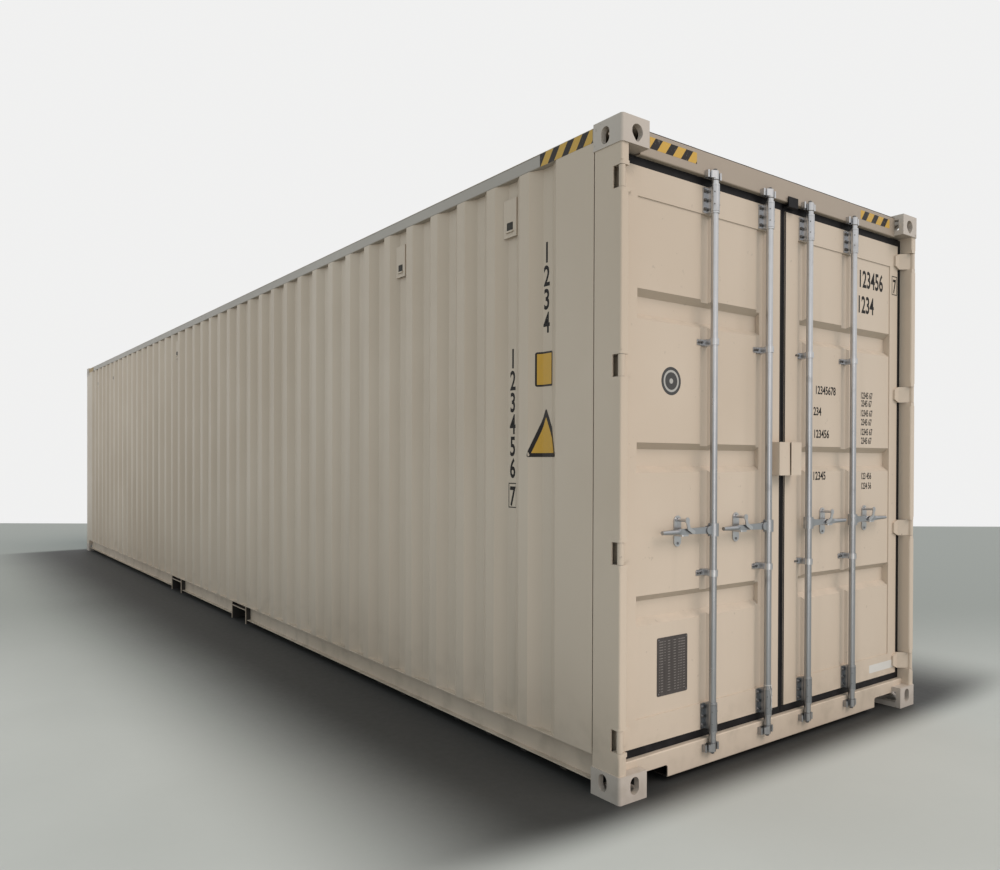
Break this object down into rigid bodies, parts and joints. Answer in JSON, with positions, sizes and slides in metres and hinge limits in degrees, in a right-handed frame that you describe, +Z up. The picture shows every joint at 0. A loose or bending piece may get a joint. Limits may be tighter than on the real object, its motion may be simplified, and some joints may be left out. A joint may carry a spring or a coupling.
{
  "type": "shipping container, 40 ft high-cube dry freight",
  "caption": "Forty foot high-cube dry freight container with corrugated walls, two 266-degree door leaves, four locking bars with handles and catches, and eight corner castings.",
  "frame": {"origin": "middle of the footprint on the ground, under the corner castings", "axes": "+X towards the door end, Y across with the left door leaf on -Y as seen from outside the doors, +Z up"},
  "size_m": [12.192, 2.438, 2.896],
  "materials": {
    "beige_paint": "satin",
    "galvanised": "satin",
    "seal_rubber": "matte",
    "floor_wood": "matte"
  },
  "bodies": {
    "root": {"bottom_rail_left": "beige_paint", "bottom_rail_right": "beige_paint", "cam_keepers": "galvanised", "castings_bottom_door": "beige_paint", "castings_bottom_front": "beige_paint", "castings_top_door": "beige_paint", "castings_top_front": "beige_paint", "cross_members": "beige_paint", "door_header": "beige_paint", "door_post_left": "beige_paint", "door_post_right": "beige_paint", "door_sill": "beige_paint", "floor_boards": "floor_wood", "floor_rail": "beige_paint", "fork_pockets": "beige_paint", "front_bottom_rail": "beige_paint", "front_post_left": "beige_paint", "front_post_right": "beige_paint", "front_top_rail": "beige_paint", "front_wall": "beige_paint", "gooseneck_tunnel": "beige_paint", "hinge_lugs": "beige_paint", "hinge_pins": "beige_paint", "roof": "beige_paint", "side_wall_left": "beige_paint", "side_wall_right": "beige_paint", "top_rail_left": "beige_paint", "top_rail_right": "beige_paint", "ventilators": "beige_paint"},
    "door_left": {"bar_bearings_left": "galvanised", "catch_bases_left": "galvanised", "door_frame_left": "beige_paint", "door_gasket_left": "seal_rubber", "door_panel_left": "beige_paint", "hinge_blades_left": "beige_paint", "lock_box_left": "beige_paint"},
    "door_right": {"bar_bearings_right": "galvanised", "catch_bases_right": "galvanised", "door_frame_right": "beige_paint", "door_gasket_right": "seal_rubber", "door_panel_right": "beige_paint", "hinge_blades_right": "beige_paint", "lock_box_right": "beige_paint"},
    "lock_bar_1": {"lock_bar_1": "galvanised"},
    "handle_1": {"handle_1": "galvanised"},
    "catch_1": {"catch_1": "galvanised"},
    "lock_bar_2": {"lock_bar_2": "galvanised"},
    "handle_2": {"handle_2": "galvanised"},
    "catch_2": {"catch_2": "galvanised"},
    "lock_bar_3": {"lock_bar_3": "galvanised"},
    "handle_3": {"handle_3": "galvanised"},
    "catch_3": {"catch_3": "galvanised"},
    "lock_bar_4": {"lock_bar_4": "galvanised"},
    "handle_4": {"handle_4": "galvanised"},
    "catch_4": {"catch_4": "galvanised"}
  },
  "joints": [
    {"name": "door_left_swing", "type": "hinge", "parent": "root", "child": "door_left", "pos_m": [6.076, -1.199, 1.448], "axis": [0, 0, -1], "range_deg": [0, 266]},
    {"name": "door_right_swing", "type": "hinge", "parent": "root", "child": "door_right", "pos_m": [6.076, 1.199, 1.448], "axis": [0, 0, 1], "range_deg": [0, 266]},
    {"name": "lock_bar_1_turn", "type": "hinge", "parent": "door_left", "child": "lock_bar_1", "pos_m": [6.064, -0.589, 1.126], "axis": [0, 0, -1], "range_deg": [-110, 0]},
    {"name": "handle_1_lift", "type": "hinge", "parent": "lock_bar_1", "child": "handle_1", "pos_m": [6.064, -0.625, 1.126], "axis": [1, 0, 0], "range_deg": [-8, 0]},
    {"name": "catch_1_flip", "type": "hinge", "parent": "door_left", "child": "catch_1", "pos_m": [6.0785, -0.785, 1.177], "axis": [-1, 0, 0], "range_deg": [-100, 0]},
    {"name": "lock_bar_2_turn", "type": "hinge", "parent": "door_left", "child": "lock_bar_2", "pos_m": [6.064, -0.171, 1.126], "axis": [0, 0, -1], "range_deg": [-110, 0]},
    {"name": "handle_2_lift", "type": "hinge", "parent": "lock_bar_2", "child": "handle_2", "pos_m": [6.064, -0.207, 1.126], "axis": [1, 0, 0], "range_deg": [-8, 0]},
    {"name": "catch_2_flip", "type": "hinge", "parent": "door_left", "child": "catch_2", "pos_m": [6.0785, -0.367, 1.177], "axis": [-1, 0, 0], "range_deg": [-100, 0]},
    {"name": "lock_bar_3_turn", "type": "hinge", "parent": "door_right", "child": "lock_bar_3", "pos_m": [6.064, 0.171, 1.126], "axis": [0, 0, 1], "range_deg": [-110, 0]},
    {"name": "handle_3_lift", "type": "hinge", "parent": "lock_bar_3", "child": "handle_3", "pos_m": [6.064, 0.207, 1.126], "axis": [-1, 0, 0], "range_deg": [-8, 0]},
    {"name": "catch_3_flip", "type": "hinge", "parent": "door_right", "child": "catch_3", "pos_m": [6.0785, 0.367, 1.177], "axis": [1, 0, 0], "range_deg": [-100, 0]},
    {"name": "lock_bar_4_turn", "type": "hinge", "parent": "door_right", "child": "lock_bar_4", "pos_m": [6.064, 0.589, 1.126], "axis": [0, 0, 1], "range_deg": [-110, 0]},
    {"name": "handle_4_lift", "type": "hinge", "parent": "lock_bar_4", "child": "handle_4", "pos_m": [6.064, 0.625, 1.126], "axis": [-1, 0, 0], "range_deg": [-8, 0]},
    {"name": "catch_4_flip", "type": "hinge", "parent": "door_right", "child": "catch_4", "pos_m": [6.0785, 0.785, 1.177], "axis": [1, 0, 0], "range_deg": [-100, 0]}
  ]
}
